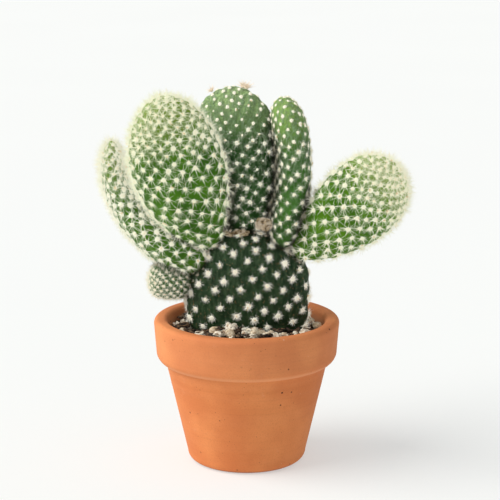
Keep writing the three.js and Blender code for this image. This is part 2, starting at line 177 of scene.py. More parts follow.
# %% One method for every node
class Finish:
    def __init__(self, name):
        self.material = bpy.data.materials.new(name)
        self.material.use_nodes = True
        self.tree = self.material.node_tree
        self.tree.nodes.clear()
        self.place = self.node("TexCoord", output="Object")

    def node(self, kind, settings=None, sockets=None, output=0):
        made = self.tree.nodes.new("ShaderNode" + kind)
        for name, setting in (settings or {}).items():
            setattr(made, name, setting)
        for key, value in (sockets or {}).items():
            if isinstance(value, Value):
                self.tree.links.new(value.socket, made.inputs[key])
            else:
                made.inputs[key].default_value = value
        return Value(self, made.outputs[output]) if made.outputs else None

    def noise(self, size, detail=2, roughness=0.5, stretch=(1, 1, 1), shift=0):
        """Smooth noise from 0 to 1 with patches of a size in millimetres."""
        scale = tuple(1 / (size * MM * way) for way in stretch)
        sockets = {"Vector": self.place, "Scale": scale, "Location": (shift, shift, shift)}
        where = self.node("Mapping", {}, sockets)
        sockets = {"Vector": where, "Scale": 1.0, "Detail": detail, "Roughness": roughness}
        return self.node("TexNoise", {}, sockets)

    def cells(self, size):
        """The distance from the middle of the nearest cell, for cells of a size in millimetres."""
        return self.node("TexVoronoi", {}, {"Vector": self.place, "Scale": 1 / (size * MM)})

    def attribute(self, name):
        return self.node("Attribute", {"attribute_name": name}, output="Fac")

    def blend(self, amount, low, high):
        """One colour where the amount is 0 and the other where it is 1."""
        return self.node("Mix", {"data_type": "RGBA"}, {0: amount, 6: low, 7: high}, output=2)

    def surface(self, colour, roughness, height=None, **constants):
        """The shader itself. height is in millimetres."""
        sockets = {"Base Color": colour, "Roughness": roughness}
        if height is not None:
            sockets["Normal"] = self.node("Bump", {}, {"Height": height, "Distance": MM})
        for name, value in constants.items():
            sockets[name.replace("_", " ").title().replace("Ior", "IOR")] = value
        shader = self.node("BsdfPrincipled", {}, sockets, output="BSDF")
        self.node("OutputMaterial", {}, {"Surface": shader})
        return self.material


# %% [markdown]
# ## How a piece is finished
# Every piece ends in the same way, so one function does it. The piece is moved into the frame,
# smoothed, tied to the body that it moves with and given its finish, and it takes the place of
# the plain solid that it stands for, if there is one.

# %% From a mesh in the making to a piece of the object
def piece(name, bm, material, slot, *stands_for, smooth=True):
    bmesh.ops.transform(bm, matrix=INTO_FRAME, verts=bm.verts)
    for face in bm.faces:
        face.smooth = smooth
    mesh = bpy.data.meshes.new(name)
    bm.to_mesh(mesh)
    bm.free()
    mesh.materials.append(material)
    made = bpy.data.objects.new(name, mesh)
    scene.collection.objects.link(made)
    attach(made, "root")
    if stands_for:
        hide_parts(*stands_for)
    triangles = sum(len(polygon.vertices) - 2 for polygon in mesh.polygons)
    print(f"{name}: {triangles} triangles")


# %% [markdown]
# ## Floor
# Milky matt plastic with a very faint unevenness, and the glow of the lamps under it. One square
# face is enough, since the finish does the rest. It isn't part of the object.

# %% Floor
FLOOR_HALF = 8
FLOOR_GLOW = 0.46


def floor_finish():
    finish = Finish("light_table")
    tone = finish.noise(400, detail=1)
    colour = finish.blend(tone, paint(184, 186, 185), paint(187, 189, 188))
    return finish.surface(
        colour, roughness=0.9, specular_ior_level=0.1,
        emission_color=(0.985, 1, 0.99, 1), emission_strength=FLOOR_GLOW,
    )


floor_bm = bmesh.new()
bmesh.ops.create_grid(floor_bm, x_segments=1, y_segments=1, size=FLOOR_HALF)
floor_mesh = bpy.data.meshes.new("floor")
floor_bm.to_mesh(floor_mesh)
floor_bm.free()
floor_mesh.materials.append(floor_finish())
floor = bpy.data.objects.new("floor", floor_mesh)
scene.collection.objects.link(floor)
print("floor:", 2 * FLOOR_HALF, "m wide")

# %% [markdown]
# ## The pot
# A flower pot is turned on a wheel, so one outline in a half plane holds its whole form: foot,
# tapering wall, thick collar with a rounded lower edge, soft lip, inner wall and floor with a
# drainage hole. It could be stacked from cylinders, but their joints would have to be rounded
# afterwards. Here the outline is laid down as points and arcs and spun once round the axis.

# %% The outline of the pot
POT_HEIGHT = 71
RIM_RADIUS = 45
COLLAR_FOOT_RADIUS = 43.9
COLLAR_FOOT_Z = 49.4
COLLAR_FOOT_ROUNDING = 5.2
BODY_TOP_RADIUS = 39.3
BASE_RADIUS = 29
BASE_ROUNDING = 4.4
WALL = 5.6
POT_FLOOR = 6
LIP_OUTER = 2.4
LIP_INNER = 2.6
DRAIN_RADIUS = 5.5
COLLAR_UNDERSIDE = -68
ROUNDING_STEPS = 8
COLLAR_STEPS = 9


def arc(x, z, radius, start, end, steps):
    """Points of an arc in the plane of an outline, with angles in degrees."""
    angles = [math.radians(start + (end - start) * i / steps) for i in range(steps + 1)]
    return [(x + radius * math.cos(angle), z + radius * math.sin(angle)) for angle in angles]


def inner_radius(z):
    taper = (BODY_TOP_RADIUS - BASE_RADIUS) / (COLLAR_FOOT_Z - BASE_ROUNDING)
    return min(BASE_RADIUS - WALL + taper * (z - BASE_ROUNDING), RIM_RADIUS - WALL)


def pot_outline():
    foot = BASE_RADIUS - BASE_ROUNDING
    collar = COLLAR_FOOT_RADIUS - COLLAR_FOOT_ROUNDING
    collar_z = COLLAR_FOOT_Z + COLLAR_FOOT_ROUNDING
    crest = POT_HEIGHT - LIP_INNER
    steps = ROUNDING_STEPS
    return [
        (DRAIN_RADIUS, 0),
        *arc(foot, BASE_ROUNDING, BASE_ROUNDING, -90, 0, steps),
        (BODY_TOP_RADIUS, COLLAR_FOOT_Z),
        *arc(collar, collar_z, COLLAR_FOOT_ROUNDING, COLLAR_UNDERSIDE, 0, COLLAR_STEPS),
        *arc(RIM_RADIUS - LIP_OUTER, POT_HEIGHT - LIP_OUTER, LIP_OUTER, 0, 90, steps),
        *arc(inner_radius(crest) + LIP_INNER, crest, LIP_INNER, 90, 180, steps),
        (inner_radius(POT_FLOOR), POT_FLOOR),
        (DRAIN_RADIUS, POT_FLOOR),
    ]


print("corners of the outline:", len(pot_outline()))

# %% Spinning an outline
POT_STEPS = 144
POT_STRETCH = 2.2
MERGE_WITHIN = 1e-4


def spun(outline, steps, longest, closed):
    """An outline turned once round the axis, cut into stretches of a length in millimetres."""
    bm = bmesh.new()
    corners = [bm.verts.new((x, 0, z)) for x, z in outline]
    ends = corners[1:] + corners[:1] if closed else corners[1:]
    edges = [bm.edges.new(pair) for pair in zip(corners, ends)]
    for edge in edges:
        cuts = int(edge.calc_length() / longest)
        if cuts:
            bmesh.ops.subdivide_edges(bm, edges=[edge], cuts=cuts)
    bmesh.ops.spin(
        bm, geom=bm.verts[:] + bm.edges[:], cent=(0, 0, 0), axis=(0, 0, 1), dvec=(0, 0, 0),
        angle=2 * math.pi, steps=steps, use_merge=True, use_duplicate=False,
    )
    bmesh.ops.remove_doubles(bm, verts=bm.verts, dist=MERGE_WITHIN)
    bmesh.ops.recalc_face_normals(bm, faces=bm.faces)
    return bm


pot_bm = spun(pot_outline(), POT_STEPS, POT_STRETCH, closed=True)
print("corners of the spun pot:", len(pot_bm.verts))

# %% [markdown]
# ## Terracotta
# Unglazed fired clay is matt and never one even colour. The kiln leaves broad warm and pale
# clouds, the turning tool leaves fine level lines round the pot, and grit that burnt out leaves
# small dark pits. A painted highlight runs along the lower edge of the collar, dust and scuffs
# lighten the rest, and a painted contact shadow darkens the foot. A painted picture would show a
# seam on a round pot, so all of it is worked out from the place in space. The noise for the lines
# is stretched sixty times sideways, which leaves only its change with height.

# %% Terracotta finish
HIGHLIGHT_EDGE = (49.7, 50.6, 50.8, 52.8)
CONTACT_SHADE_BELOW = 1.8


def terracotta_finish():
    finish = Finish("terracotta")
    clouds = finish.noise(28, detail=3)
    grain = finish.noise(0.7, detail=3, roughness=0.7)
    lines = finish.noise(1.1, detail=2, stretch=(60, 60, 1))
    bands = finish.noise(7, detail=1, stretch=(30, 30, 1), shift=3)
    warm = finish.blend(clouds.between(0.35, 0.7), paint(209, 122, 69), paint(225, 140, 82))
    warm = finish.blend(bands.between(0.4, 0.75) * 0.16, warm, paint(232, 156, 104))
    warm = finish.blend(grain.between(0.45, 0.75) * 0.35, warm, paint(186, 106, 64))
    warm = finish.blend(lines.between(0.5, 0.75) * 0.08, warm, paint(170, 92, 58))
    dust = finish.noise(9, detail=6, roughness=0.75, shift=9).between(0.6, 0.78)
    height = finish.node("SeparateXYZ", {}, {"Vector": finish.place}, output=2)
    collar = height.between(COLLAR_FOOT_Z * MM, (COLLAR_FOOT_Z + COLLAR_FOOT_ROUNDING) * MM)
    warm = finish.blend(dust * 0.13 + collar * 0.05, warm, paint(240, 200, 168))
    # Painted highlight: a thin pale line along the lower edge of the collar.
    starts, whole, fades, ends = [level * MM for level in HIGHLIGHT_EDGE]
    painted_highlight = height.between(starts, whole) * height.between(ends, fades)
    warm = finish.blend(painted_highlight * 0.24, warm, paint(248, 190, 146))
    pits = 1 - finish.cells(5.2).between(0.06, 0.11)
    pits = pits * finish.noise(11, detail=1, shift=5).between(0.5, 0.62)
    specks = 1 - finish.cells(2.3).between(0.06, 0.12)
    specks = specks * finish.noise(6, detail=1).between(0.5, 0.6)
    scuffs = finish.noise(2.2, detail=2, shift=12).between(0.75, 0.8)
    warm = finish.blend(scuffs * 0.5, warm, paint(240, 206, 176))
    # Painted contact shadow: the lowest couple of millimetres of the foot are darker.
    foot = height.between(CONTACT_SHADE_BELOW * MM, 0)
    warm = finish.blend(foot * 0.75, warm, paint(120, 62, 36))
    warm = finish.blend(pits, warm, paint(84, 44, 28))
    warm = finish.blend(specks * 0.7, warm, paint(120, 66, 42))
    dusty = finish.attribute("inside") * (clouds * 0.5 + 0.3)
    warm = finish.blend(dusty, warm, paint(150, 126, 104))
    relief = grain * 0.05 + lines * 0.02 + bands * 0.06 - pits * 0.25 - specks * 0.08
    roughness = grain * 0.12 + 0.76
    return finish.surface(warm, roughness, relief, specular_ior_level=0.3)


terracotta = terracotta_finish()
print("nodes of the terracotta:", len(terracotta.node_tree.nodes))

# %% [markdown]
# ## Rings of the wheel
# A wheel leaves slight rings on the clay. A bump in the finish would do for the finest of them,
# but these show at the outline too, so the wall itself moves in and out by a few hundredths of a
# millimetre. Water and dust dull the inside just below the lip, and the mesh remembers where that
# is.

# %% The pot, with the rings of the wheel
DUSTY_BELOW = 4
RING_HEIGHT = 3.1
RING_DEPTH = 0.07
inside = pot_bm.verts.layers.float.new("inside")
for vert in pot_bm.verts:
    sunk = POT_HEIGHT - LIP_INNER - vert.co.z
    if math.hypot(vert.co.x, vert.co.y) < inner_radius(vert.co.z) + WALL / 4:
        vert[inside] = min(max(sunk / DUSTY_BELOW, 0), 1)
    around = Vector((vert.co.x, vert.co.y, 0)).normalized()
    ring = noise.noise(Vector((around.x, around.y, vert.co.z / RING_HEIGHT)))
    vert.co += around * RING_DEPTH * ring
piece("pot_turned", pot_bm, terracotta, "terracotta", "pot")

# %% [markdown]
# ## Potting mix
# Cacti stand in a lean mix: dark crumbs of peat and bark, white perlite, grit and a few pebbles.
# Its surface is heaped a little towards the plant. Colour alone would look flat from the side, so
# the body of the mix is spun like the pot, and its top is lifted by the same formula as in the
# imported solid, with fine crumbs of noise on it. Grains lie on that surface one by one.

# %% Potting mix body
GAP = 0.3
SOIL_EDGE_Z = 64.4
SOIL_HEAP = 2.2
SOIL_ROUGHNESS = 0.55
SOIL_STEPS = 160
SOIL_STRETCH = 0.9
CRUMB_SIZE = 1.6
CRUMB_HEIGHT = 0.45


def soil_height(x, y):
    share = math.hypot(x, y) / inner_radius(SOIL_EDGE_Z)
    grains = math.sin(1.9 * x + 0.6) * math.cos(1.7 * y) + math.sin(1.1 * y + 0.8 * x)
    return SOIL_EDGE_Z + SOIL_HEAP * (1 - share * share) + SOIL_ROUGHNESS * grains / 2


def soil_finish():
    finish = Finish("potting_mix")
    crumbs = finish.cells(1.1)
    tone = finish.noise(2.4, detail=4, roughness=0.7)
    colour = finish.blend(tone.between(0.3, 0.75), paint(22, 16, 11), paint(74, 55, 38))
    fibre = finish.noise(0.9, detail=3, shift=4).between(0.62, 0.72)
    colour = finish.blend(fibre * 0.6, colour, paint(150, 122, 90))
    relief = crumbs * 0.7 + tone * 0.5
    return finish.surface(colour, 0.92, relief, specular_ior_level=0.2)


def soil_bm():
    bottom = POT_FLOOR + GAP
    edge = inner_radius(SOIL_EDGE_Z) - GAP
    outline = [
        (0, bottom), (inner_radius(bottom) - GAP, bottom), (edge, SOIL_EDGE_Z), (0, SOIL_EDGE_Z)
    ]
    bm = spun(outline, SOIL_STEPS, SOIL_STRETCH, closed=False)
    for vert in bm.verts:
        if vert.co.z > SOIL_EDGE_Z - GAP:
            crumb = noise.fractal(vert.co / CRUMB_SIZE, 1.0, 2.0, 3)
            vert.co.z = soil_height(vert.co.x, vert.co.y) + CRUMB_HEIGHT * crumb
    return bm


piece("potting_mix", soil_bm(), soil_finish(), "potting_mix", "soil")

# %% [markdown]
# ## Stones
# A stone could be sculpted, but twenty-two are needed. Each starts as a ball of triangles whose
# corners are pushed in and out by noise. Large noise gives its outline and small noise its broken
# faces. Perlite is heated volcanic glass, white and full of pores, with brown stains from the
# mix. Pebbles are worn smooth. Bark chips are flat and fibrous. Each piece is stretched to the
# box of the solid that it stands for, so that it lies in the same bed.

# %% Finishes for the stones
def perlite_finish():
    finish = Finish("perlite")
    pores = finish.cells(0.7)
    stain = finish.noise(1.7, detail=5, roughness=0.7).between(0.5, 0.64)
    colour = finish.blend(stain, paint(255, 246, 226), paint(190, 152, 110))
    colour = finish.blend((1 - pores.between(0.1, 0.4)) * 0.6, colour, paint(112, 82, 56))
    crust = finish.noise(1.3, detail=4, roughness=0.7, shift=21).between(0.56, 0.62)
    colour = finish.blend(crust * 0.85, colour, paint(62, 42, 28))
    return finish.surface(colour, roughness=0.9, height=pores * 0.4)


def pebble_finish():
    finish = Finish("pebble")
    bands = finish.noise(1.8, detail=4, roughness=0.65, stretch=(1, 1, 0.4))
    colour = finish.blend(bands.between(0.3, 0.7), paint(176, 150, 116), paint(246, 232, 206))
    specks = finish.noise(0.4, detail=2, shift=2).between(0.62, 0.7)
    colour = finish.blend(specks * 0.6, colour, paint(80, 66, 52))
    return finish.surface(colour, roughness=bands * 0.2 + 0.55, height=bands * 0.15)


def bark_finish():
    finish = Finish("bark")
    fibres = finish.noise(0.6, detail=4, roughness=0.7, stretch=(5, 1, 1))
    colour = finish.blend(fibres.between(0.46, 0.68), paint(20, 13, 9), paint(156, 122, 88))
    return finish.surface(colour, roughness=0.85, height=fibres * 0.4)


stone_finish = {
    "perlite": perlite_finish(), "pebble": pebble_finish(), "bark_chip": bark_finish()
}
print("finishes:", list(stone_finish))

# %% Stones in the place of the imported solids
# How far the noise moves the skin, and how fine it is.
STONE_NOISE = {"perlite": (0.75, 1.7), "pebble": (0.25, 0.9), "bark_chip": (0.9, 2.4)}
STONE_SLOT = {"perlite": "perlite", "pebble": "pebble", "bark_chip": "bark"}
STONE_SUBDIVISIONS = 4
FINE_SHARE = 0.45


def stone_bm(amount, frequency, seed, subdivisions):
    """A ball pushed in and out by noise, which each seed reads at another place."""
    bm = bmesh.new()
    bmesh.ops.create_icosphere(bm, subdivisions=subdivisions, radius=1)
    for vert in bm.verts:
        way = vert.co * frequency + Vector((seed * 3.7, seed * 1.3, seed * 2.1))
        vert.co *= 1 + amount * noise.noise(way) + FINE_SHARE * amount * noise.noise(way * 3)
    return bm


def fit_in_box(bm, low, high):
    """Stretches a mesh to a box given in the frame, in millimetres round the pot's axis."""
    bottom = Vector([min(vert.co[i] for vert in bm.verts) for i in range(3)])
    top = Vector([max(vert.co[i] for vert in bm.verts) for i in range(3)])
    low = (low - POT_AXIS) / MM
    high = (high - POT_AXIS) / MM
    stretch = [(high[i] - low[i]) / (top[i] - bottom[i]) for i in range(3)]
    bmesh.ops.translate(bm, verts=bm.verts, vec=-bottom)
    bmesh.ops.scale(bm, verts=bm.verts, vec=stretch)
    bmesh.ops.translate(bm, verts=bm.verts, vec=low)


for number, node in enumerate(sorted(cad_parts)):
    kind = node.rsplit("_", 1)[0]
    if kind in stone_finish:
        stone = stone_bm(*STONE_NOISE[kind], number, STONE_SUBDIVISIONS)
        fit_in_box(stone, *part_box(node))
        piece(f"{node}_stone", stone, stone_finish[kind], STONE_SLOT[kind], node)

# %% [markdown]
# ## The form of a paddle
# A paddle is a flattened ball: broad, thin, wider towards the tip than at the root, often leaning
# and sometimes bent over. It could be sculpted by hand, but the plant repeats one form seven
# times, so one formula with a few sizes makes all of them, and it is the formula of the packed
# solids. It sends a direction on the unit ball to a place on the skin. The areoles, the cushions
# that bear the bristles, follow from it too: plants set them along one spiral with a golden share
# of a turn from each to the next, closer together towards a tip that still grows. Each strays a
# little from its place in the spiral.

# %% Sizes of the paddles, in millimetres and degrees
PADDLES = {
    "base_paddle": dict(
        root=(-0.4, 1, 34), lean=1, tilt=0, turn=0, curl=0, sway=0,
        length=79, width=60, thickness=26, egg=0.12, full=0.32,
        spacing=7.8, crowding=0,
    ),
    "front_left_paddle": dict(
        root=(-17.5, -1.5, 104), lean=-21.7, tilt=19, turn=-6, curl=-8, sway=6.3,
        length=82.5, width=44, thickness=24, egg=0.24, full=-0.13,
        spacing=6.4, crowding=1.8,
    ),
    "back_left_paddle": dict(
        root=(-16.8, 4, 97.5), lean=-84.6, tilt=0, turn=-76, curl=-90, sway=1.7,
        length=84, width=34, thickness=17.9, egg=-0.28, full=0.6,
        spacing=5.4, crowding=1.6,
    ),
    "left_bud": dict(
        root=(-26, 0, 88), lean=-83, tilt=6, turn=0, curl=0, sway=0,
        length=21.5, width=18.2, thickness=13, egg=0.05, full=0.3,
        spacing=2.9, crowding=0.3,
    ),
    "back_paddle": dict(
        root=(0.6, 2.5, 101), lean=-4.6, tilt=-3, turn=-6, curl=0, sway=-2.3,
        length=81.4, width=39, thickness=15, egg=0.42, full=0.03,
        spacing=5.4, crowding=0.5,
    ),
    "upright_paddle": dict(
        root=(14.4, 1.5, 105.5), lean=22, tilt=-1, turn=99, curl=-41, sway=0,
        length=73.7, width=34, thickness=17.2, egg=-0.04, full=0.7,
        spacing=5.4, crowding=0.3,
    ),
    "right_paddle": dict(
        root=(23.3, -5, 102.3), lean=49.5, tilt=8, turn=8, curl=0, sway=-2.5,
        length=66, width=39.4, thickness=20, egg=0.3, full=0,
        spacing=5.9, crowding=1.7,
    ),
}


def smoothstep(value, low, high):
    share = min(max((value - low) / (high - low), 0), 1)
    return share * share * (3 - 2 * share)


def on_ball(level, angle):
    flat = math.sqrt(max(0, 1 - level * level))
    return Vector((flat * math.cos(angle), flat * math.sin(angle), level))


print("paddles:", list(PADDLES))

# %% The paddle's formula
class Paddle:
    def __init__(self, name, sizes):
        self.name = name
        self.__dict__.update(sizes)
        turned = (
            Matrix.Rotation(math.radians(self.lean), 4, "Y")
            @ Matrix.Rotation(math.radians(self.tilt), 4, "X")
            @ Matrix.Rotation(math.radians(self.turn), 4, "Z")
        )
        self.matrix = Matrix.Translation(self.root) @ turned
        self.inverse = self.matrix.inverted()
        self.bend = self.length / math.radians(self.curl) if self.curl else 0
        self.broadest = 1
        levels = [i / 50 - 1 for i in range(101)]
        self.broadest = max(math.sqrt(1 - z * z) * self.breadth(z) for z in levels)

    def breadth(self, level):
        return (1 + self.egg * level) * (1 + self.full * level * level) / self.broadest

    def curled(self, place):
        if not self.curl:
            return place
        angle = place.z / self.bend
        reach = self.bend + place.y
        return Vector((place.x, reach * math.cos(angle) - self.bend, reach * math.sin(angle)))

    def straightened(self, place):
        if not self.curl:
            return place
        side = math.copysign(1, self.bend)
        angle = math.atan2(side * place.z, side * (place.y + self.bend))
        reach = side * math.hypot(place.z, place.y + self.bend)
        return Vector((place.x, reach - self.bend, self.bend * angle))

    def skin(self, u):
        """Where a direction on the unit ball lies on the skin, in the paddle's own frame."""
        broad = self.breadth(u.z)
        share = (1 + u.z) / 2
        x = self.width / 2 * broad * u.x + self.sway * share * share
        return self.curled(Vector((x, self.thickness / 2 * broad * u.y, self.length * share)))

    def stand(self, u):
        """A place on the skin with its directions: x aside, y towards the tip, z straight out."""
        aside = Vector((0, 0, 1)) if abs(u.z) < 0.95 else Vector((1, 0, 0))
        east = aside.cross(u).normalized()
        step = 1e-3
        eastward, northward = [
            self.skin((u + way * step).normalized()) - self.skin((u - way * step).normalized())
            for way in (east, u.cross(east))
        ]
        out = eastward.cross(northward).normalized()
        up = (northward - out * northward.dot(out)).normalized()
        standing = Matrix((up.cross(out), up, out)).transposed().to_4x4()
        standing.translation = self.skin(u)
        return standing

    def holds(self, place, margin):
        """Whether a place round the pot is inside the paddle, or within a margin of its skin."""
        p = self.straightened(self.inverse @ place)
        half = self.length / 2
        level = (p.z - half) / (half + margin)
        if abs(level) >= 1:
            return False
        share = (1 + level) / 2
        broad = self.breadth(level)
        across = (p.x - self.sway * share * share) / (self.width / 2 * broad + margin)
        through = p.y / (self.thickness / 2 * broad + margin)
        return across * across + through * through + level * level < 1


paddles = {name: Paddle(name, sizes) for name, sizes in PADDLES.items()}
print("length and width:", {name: (made.length, made.width) for name, made in paddles.items()})

# %% The spiral of areoles
GOLDEN_SHARE = (math.sqrt(5) - 1) / 2
HEXAGON = math.sqrt(3) / 2
CROWDING_STARTS = -0.1
STRAY = 0.045
STRAY_WAVES = 2.6
STRAY_SEED = 1


def spiral(paddle, levels=200, spokes=60):
    """Directions along one spiral from root to tip, each with its share of the skin."""
    def runs(level):
        ring = [paddle.skin(on_ball(level, 2 * math.pi * i / spokes)) for i in range(spokes + 1)]
        lengths = [0]
        for one, other in zip(ring, ring[1:]):
            lengths.append(lengths[-1] + (other - one).length)
        return lengths

    def radius(level):
        mean = (paddle.width + paddle.thickness) / 4
        return math.sqrt(max(0, 1 - level * level)) * paddle.breadth(level) * mean

    areas = [0]
    for i in range(levels):
        low = 2 * i / levels - 1
        high = min(1, low + 2 / levels)
        slant = math.hypot(paddle.length / levels, radius(high) - radius(low))
        crowd = 1 + paddle.crowding * smoothstep(low, CROWDING_STARTS, 1)
        areas.append(areas[-1] + runs((low + high) / 2)[-1] * slant * crowd)
    directions = []
    i = 0
    count = round(areas[-1] / (HEXAGON * paddle.spacing ** 2))
    for k in range(count):
        target = (k + 0.5) / count * areas[-1]
        while areas[i + 1] < target:
            i += 1
        level = 2 * (i + (target - areas[i]) / (areas[i + 1] - areas[i])) / levels - 1
        run = runs(level)
        wanted = (k * GOLDEN_SHARE) % 1 * run[-1]
        j = next(n for n, length in enumerate(run) if length > wanted) - 1
        angle = 2 * math.pi * (j + (wanted - run[j]) / (run[j + 1] - run[j])) / spokes
        u = on_ball(level, angle)
        strays = noise.noise_vector(u * STRAY_WAVES + Vector((paddle.length, 0, 0))) * STRAY
        directions.append((u + strays).normalized())
    return directions


# Without a seed the clock shifts noise_vector, and no two runs give the same spiral.
noise.seed_set(STRAY_SEED)
areoles = {name: spiral(paddle) for name, paddle in paddles.items()}
print("areoles:", {name: len(found) for name, found in areoles.items()})

# %% [markdown]
# ## Grit
# From a step away the mix is a mass of grains with dark gaps between them. Grains could be strewn
# by a particle system, but it would bury some in the old paddle. So a handful of stones of each
# kind is made once, with few faces, and nearly five hundred turned copies are laid on the mix by
# seeded draws, wherever the old paddle leaves room. They are fused into one piece for each kind
# of grain.

# %% Grit
# The kind of stone, how many, the smallest and largest radius, and the stretch of a grain.
GRIT = {
    "perlite_grit": ("perlite", 75, 0.8, 2.8, (1.1, 0.9, 0.8)),
    "sand_grit": ("pebble", 110, 0.7, 3.0, (1, 0.85, 0.75)),
    "bark_grit": ("bark_chip", 300, 0.8, 2.8, (1.8, 0.6, 0.4)),
}
GRAIN_SUBDIVISIONS = {"perlite": 3, "pebble": 2, "bark_chip": 2}
GRAIN_SHAPES = 8
GRAIN_RISE = (0.1, 1.2)
GRAIN_TILT = 0.7
GRIT_SEEDS = 300


def stamp(bm, shape, matrix, **marks):
    """Adds a copy of a small mesh in its place, with each mark the same on all its corners."""
    copy = shape.copy()
    copy.transform(matrix)
    for name, mark in marks.items():
        copy.attributes[name].data.foreach_set("value", [mark] * len(copy.vertices))
    bm.from_mesh(copy)
    bpy.data.meshes.remove(copy)


def grain_mesh(kind, seed, shape):
    bm = stone_bm(*STONE_NOISE[kind], seed, GRAIN_SUBDIVISIONS[kind])
    bmesh.ops.scale(bm, verts=bm.verts, vec=shape)
    mesh = bpy.data.meshes.new(f"{kind}_grain_{seed}")
    bm.to_mesh(mesh)
    bm.free()
    return mesh


def grit_bm(kind, count, smallest, largest, shape, seed):
    draw = random.Random(seed)
    grains = [grain_mesh(kind, seed + i, shape) for i in range(GRAIN_SHAPES)]
    bm = bmesh.new()
    while count:
        radius = smallest + (largest - smallest) * draw.random() ** 2
        away = (inner_radius(SOIL_EDGE_Z) - radius - GAP) * math.sqrt(draw.random())
        angle = draw.uniform(0, 2 * math.pi)
        place = Vector((away * math.cos(angle), away * math.sin(angle), 0))
        place.z = soil_height(place.x, place.y) + radius * draw.uniform(*GRAIN_RISE)
        round_about = Matrix.Rotation(draw.uniform(0, 6), 4, "Z")
        turn = round_about @ Matrix.Rotation(draw.uniform(-GRAIN_TILT, GRAIN_TILT), 4, "X")
        if not paddles["base_paddle"].holds(place, radius):
            lying = Matrix.Translation(place) @ turn @ Matrix.Scale(radius, 4)
            stamp(bm, draw.choice(grains), lying)
            count -= 1
    return bm


for number, (name, (kind, *sizes)) in enumerate(GRIT.items()):
    grit = grit_bm(kind, *sizes, GRIT_SEEDS + 20 * number)
    piece(name, grit, stone_finish[kind], STONE_SLOT[kind])

# %% [markdown]
# ## Skin
# The skin of a paddle is thick and waxy. It swells to a low cushion under each areole, with
# shallow valleys in between, and its colour tells its age: fresh yellow-green on this year's
# paddles, a deeper green under a pale bloom of wax on last year's, and a dark green with corky
# freckles and a corky foot on the oldest. The pale patches of the bloom are partly painted sheen
# and are stronger towards the tip. Young tips are paler, and a little even sheen stands for hairs
# that are too fine to model.
#
# Painted shade darkens the crevices where paddles meet, less so high up, where a crevice is open
# to the light, and the deepest part of a crevice has a little cork. A paddle that stands close by
# casts painted shade on its neighbour. All this could be painted on by hand, but each change of
# form would spoil it. Instead, each corner of the mesh remembers how far it lies from the nearest
# areole, how far along the paddle it is and how deep in a crevice, and the finish reads all three.

# %% How deep in a crevice a place is
# Up to the first distance from another paddle a place is in full painted shade, and from the
# second on it has none.
CREVICE = {
    "base_paddle": (0.3, 4), "back_paddle": (0.6, 4.5), "upright_paddle": (1.5, 7),
    "front_left_paddle": (0.2, 3), "back_left_paddle": (0.2, 3),
}
OTHER_CREVICE = (0.4, 7)
OPEN_TOP = (154, 176)
OPEN_SHARE = 0.85
SHADED_BY = {
    "back_paddle": ("front_left_paddle", 5, 10.5), "upright_paddle": ("back_paddle", 4, 14)
}
FEELERS = 3000


def tree_of(places):
    """A search tree that finds the nearest of many places."""
    tree = KDTree(len(places))
    for number, place in enumerate(places):
        tree.insert(place, number)
    tree.balance()
    return tree


def feelers(paddle):
    """Places strewn evenly over a paddle's skin, which show how near it is."""
    levels = [(2 * i + 1) / FEELERS - 1 for i in range(FEELERS)]
    return [
        paddle.matrix @ paddle.skin(on_ball(level, 2 * math.pi * GOLDEN_SHARE * i))
        for i, level in enumerate(levels)
    ]


def depth_in_crevice(paddle, others, place):
    """1 where another paddle touches, and 0 where all others are far away."""
    depth = 1 - smoothstep(others.find(place)[2], *CREVICE.get(paddle.name, OTHER_CREVICE))
    if paddle.name in SHADED_BY:
        other, near, far = SHADED_BY[paddle.name]
        depth = max(depth, 1 - smoothstep(tree_of_one[other].find(place)[2], near, far))
    return depth * (1 - OPEN_SHARE * smoothstep(place.z, *OPEN_TOP))


felt = {name: feelers(paddle) for name, paddle in paddles.items()}
tree_of_one = {other: tree_of(felt[other]) for other, near, far in SHADED_BY.values()}
others_of = {
    name: tree_of([place for other in paddles if other != name for place in felt[other]])
    for name in paddles
}
print("places that feel for a neighbour:", {name: len(places) for name, places in felt.items()})

# %% Skin mesh
CUSHION = {
    "base_paddle": 0.6, "front_left_paddle": 0.5, "back_left_paddle": 0.45, "left_bud": 0.3,
    "back_paddle": 1.0, "upright_paddle": 0.6, "right_paddle": 0.5,
}
CUSHION_REACH = (0.3, 4.2)
LUMP_SIZE = 6
LUMP_SHARE = 0.4
SKIN_SUBDIVISIONS = 6


def skin_bm(paddle):
    feet = tree_of([paddle.skin(u) for u in areoles[paddle.name]])
    others = others_of[paddle.name]
    bm = bmesh.new()
    crevice = bm.verts.layers.float.new("crevice")
    near = bm.verts.layers.float.new("near")
    along = bm.verts.layers.float.new("along")
    bmesh.ops.create_icosphere(bm, subdivisions=SKIN_SUBDIVISIONS, radius=1)
    cushion = CUSHION[paddle.name]
    lumps = cushion * LUMP_SHARE
    for vert in bm.verts:
        u = vert.co.normalized()
        standing = paddle.stand(u)
        distance = feet.find(standing.translation)[2]
        swell = cushion * (0.5 - smoothstep(distance, *CUSHION_REACH))
        swell += lumps * noise.noise(standing.translation / LUMP_SIZE)
        vert[near] = distance
        vert[along] = (1 + u.z) / 2
        vert.co = paddle.matrix @ standing @ Vector((0, 0, swell))
        vert[crevice] = depth_in_crevice(paddle, others, vert.co)
    return bm


